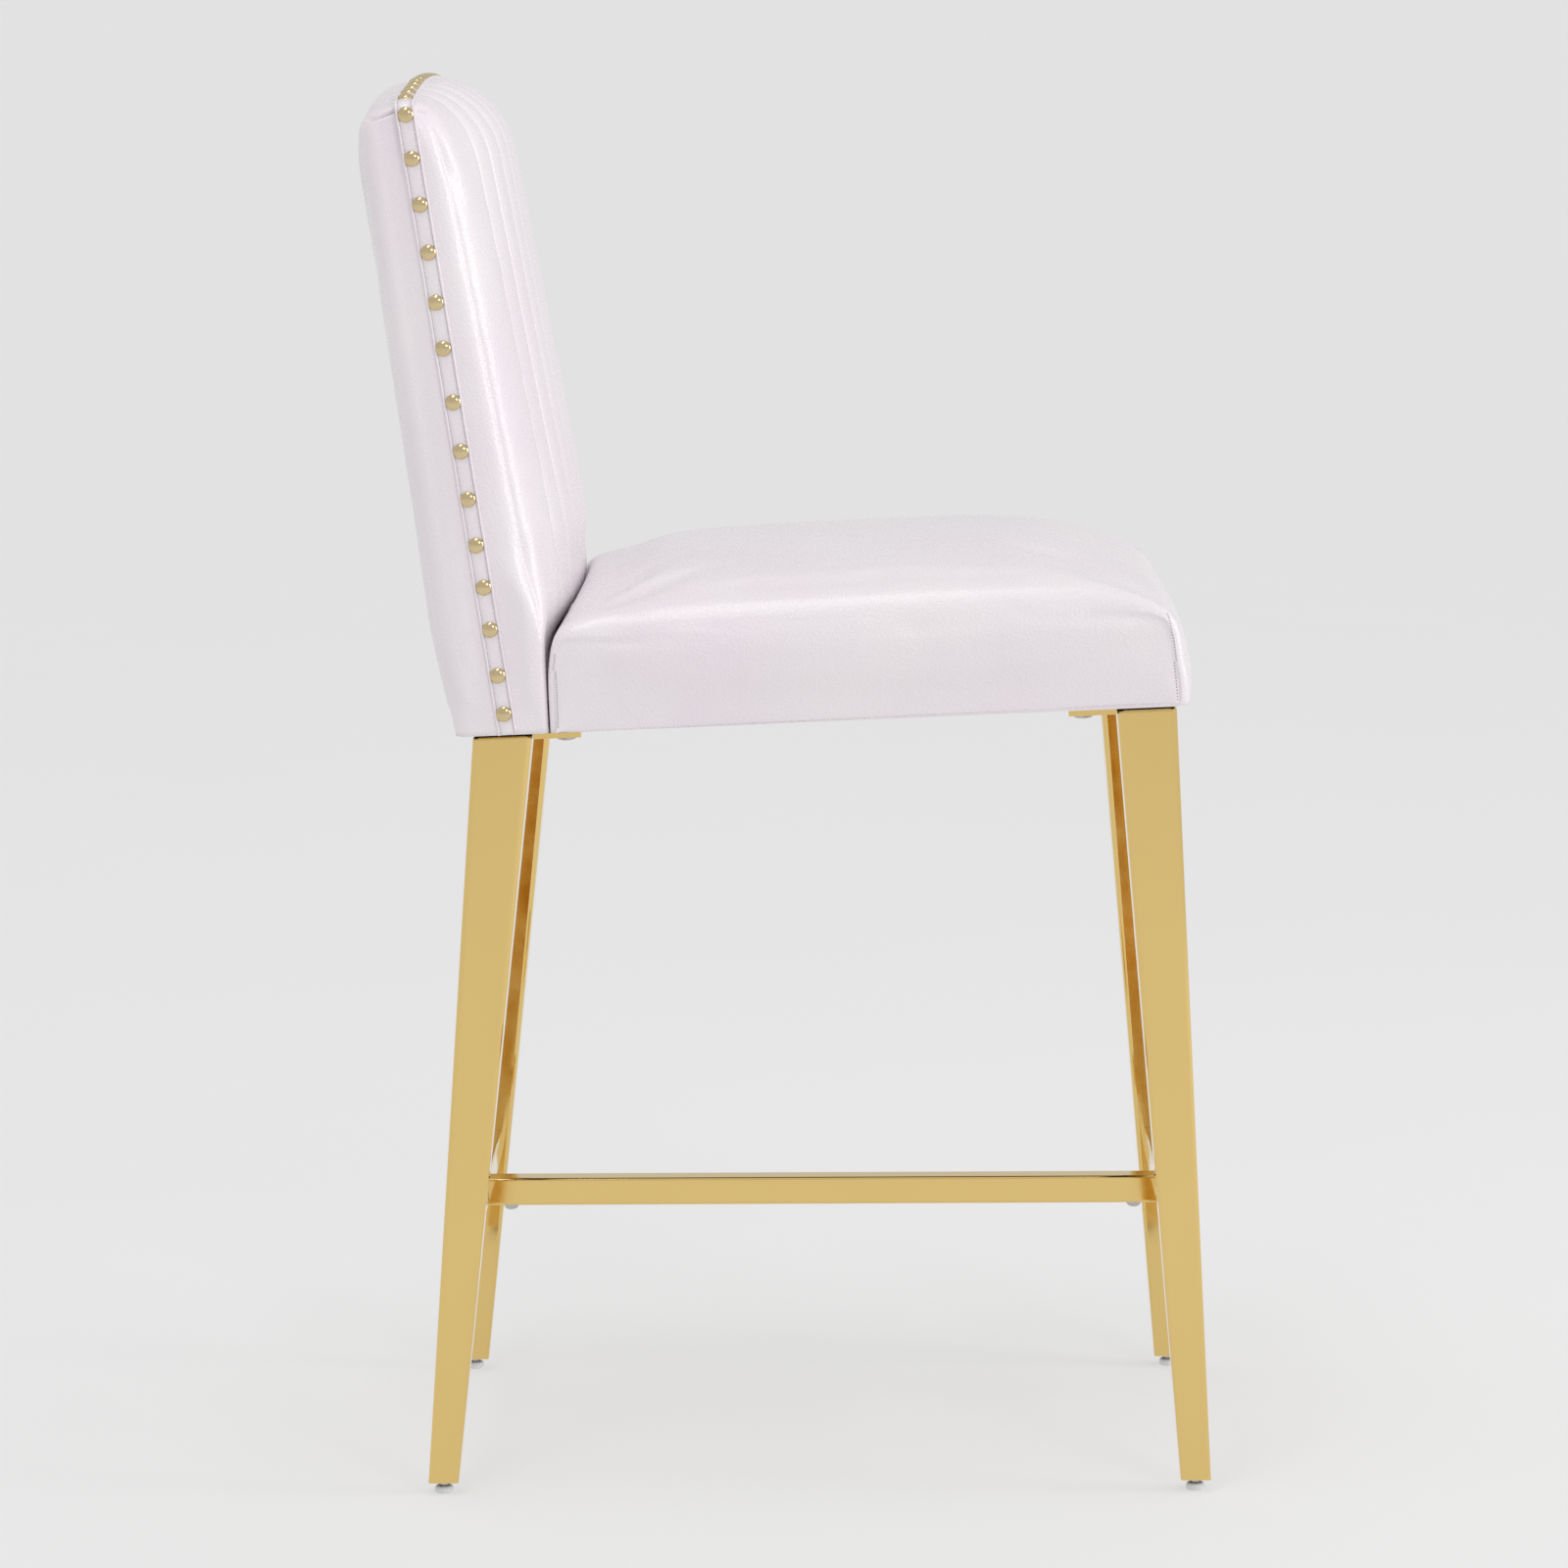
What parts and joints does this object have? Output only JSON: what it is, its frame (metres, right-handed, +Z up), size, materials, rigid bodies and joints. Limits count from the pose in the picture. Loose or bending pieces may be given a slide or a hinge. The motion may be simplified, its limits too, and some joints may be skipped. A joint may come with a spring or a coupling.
{
  "type": "bar stool with footrest",
  "caption": "Counter-height upholstered stool with a channelled, nail-trimmed back, tapered square metal legs, an H-shaped footrest and screw-in levelling feet.",
  "frame": {"origin": "on the floor below the middle of the stool's box, width and depth", "axes": "+Z up; -Y the way the sitter faces; +X towards the sitter's left"},
  "size_m": [0.431, 0.582, 0.9805],
  "materials": {
    "gold": "polished",
    "zinc": "satin",
    "brass": "satin",
    "white_leather": "satin",
    "trim_leather": "satin",
    "foam": "matte",
    "timber": "matte",
    "black_cloth": "matte",
    "black_plastic": "matte",
    "pad_plastic": "satin"
  },
  "bodies": {
    "frame": {"front_left_leg": "gold", "front_left_leg_plug": "black_plastic", "front_right_leg": "gold", "front_right_leg_plug": "black_plastic", "front_rail": "gold", "front_bar_tongue": "gold", "front_bar_screw": "zinc", "rear_left_leg": "gold", "rear_left_leg_plug": "black_plastic", "rear_right_leg": "gold", "rear_right_leg_plug": "black_plastic", "rear_rail": "gold", "rear_bar_tongue": "gold", "rear_bar_screw": "zinc", "centre_bar": "gold", "front_left_leg_plate": "gold", "front_left_inner_bolt": "zinc", "front_left_inner_insert": "brass", "front_left_outer_bolt": "zinc", "front_left_outer_insert": "brass", "front_right_leg_plate": "gold", "front_right_inner_bolt": "zinc", "front_right_inner_insert": "brass", "front_right_outer_bolt": "zinc", "front_right_outer_insert": "brass", "rear_left_leg_plate": "gold", "rear_left_inner_bolt": "zinc", "rear_left_inner_insert": "brass", "rear_left_outer_bolt": "zinc", "rear_left_outer_insert": "brass", "rear_right_leg_plate": "gold", "rear_right_inner_bolt": "zinc", "rear_right_inner_insert": "brass", "rear_right_outer_bolt": "zinc", "rear_right_outer_insert": "brass", "dust_cover": "black_cloth", "seat_board": "timber", "seat_foam": "foam", "seat_cover": "white_leather", "back_panel": "timber", "back_bottom_rail": "timber", "back_top_rail": "timber", "back_left_stile": "timber", "back_left_joint_bolt": "zinc", "back_right_stile": "timber", "back_right_joint_bolt": "zinc", "back_foam": "foam", "back_rear_padding": "foam", "back_front_cover": "white_leather", "back_rear_cover": "white_leather", "back_trim_band": "trim_leather"},
    "front_left_leveller_stud": {"front_left_leveller_stud": "zinc"},
    "front_left_leveller_pad": {"front_left_leveller_pad": "pad_plastic"},
    "front_right_leveller_stud": {"front_right_leveller_stud": "zinc"},
    "front_right_leveller_pad": {"front_right_leveller_pad": "pad_plastic"},
    "rear_left_leveller_stud": {"rear_left_leveller_stud": "zinc"},
    "rear_left_leveller_pad": {"rear_left_leveller_pad": "pad_plastic"},
    "rear_right_leveller_stud": {"rear_right_leveller_stud": "zinc"},
    "rear_right_leveller_pad": {"rear_right_leveller_pad": "pad_plastic"}
  },
  "joints": [
    {"name": "front_left_leveller_height", "type": "slide", "parent": "frame", "child": "front_left_leveller_stud", "axis": [0, 0, -1], "range_m": [-0.0025, 0.008]},
    {"name": "front_left_leveller_turn", "type": "hinge", "parent": "front_left_leveller_stud", "child": "front_left_leveller_pad", "pos_m": [0.1935, -0.2805, 0.003], "axis": [0, 0, -1], "range_deg": [-900, 2880]},
    {"name": "front_right_leveller_height", "type": "slide", "parent": "frame", "child": "front_right_leveller_stud", "axis": [0, 0, -1], "range_m": [-0.0025, 0.008]},
    {"name": "front_right_leveller_turn", "type": "hinge", "parent": "front_right_leveller_stud", "child": "front_right_leveller_pad", "pos_m": [-0.1935, -0.2805, 0.003], "axis": [0, 0, -1], "range_deg": [-900, 2880]},
    {"name": "rear_left_leveller_height", "type": "slide", "parent": "frame", "child": "rear_left_leveller_stud", "axis": [0, 0, -1], "range_m": [-0.0025, 0.008]},
    {"name": "rear_left_leveller_turn", "type": "hinge", "parent": "rear_left_leveller_stud", "child": "rear_left_leveller_pad", "pos_m": [0.1935, 0.2445, 0.003], "axis": [0, 0, -1], "range_deg": [-900, 2880]},
    {"name": "rear_right_leveller_height", "type": "slide", "parent": "frame", "child": "rear_right_leveller_stud", "axis": [0, 0, -1], "range_m": [-0.0025, 0.008]},
    {"name": "rear_right_leveller_turn", "type": "hinge", "parent": "rear_right_leveller_stud", "child": "rear_right_leveller_pad", "pos_m": [-0.1935, 0.2445, 0.003], "axis": [0, 0, -1], "range_deg": [-900, 2880]}
  ],
  "couplings": [
    {"joint": "front_left_leveller_turn", "follows": "front_left_leveller_height", "rad_per_m": 6283.2},
    {"joint": "front_right_leveller_turn", "follows": "front_right_leveller_height", "rad_per_m": 6283.2},
    {"joint": "rear_left_leveller_turn", "follows": "rear_left_leveller_height", "rad_per_m": 6283.2},
    {"joint": "rear_right_leveller_turn", "follows": "rear_right_leveller_height", "rad_per_m": 6283.2}
  ]
}
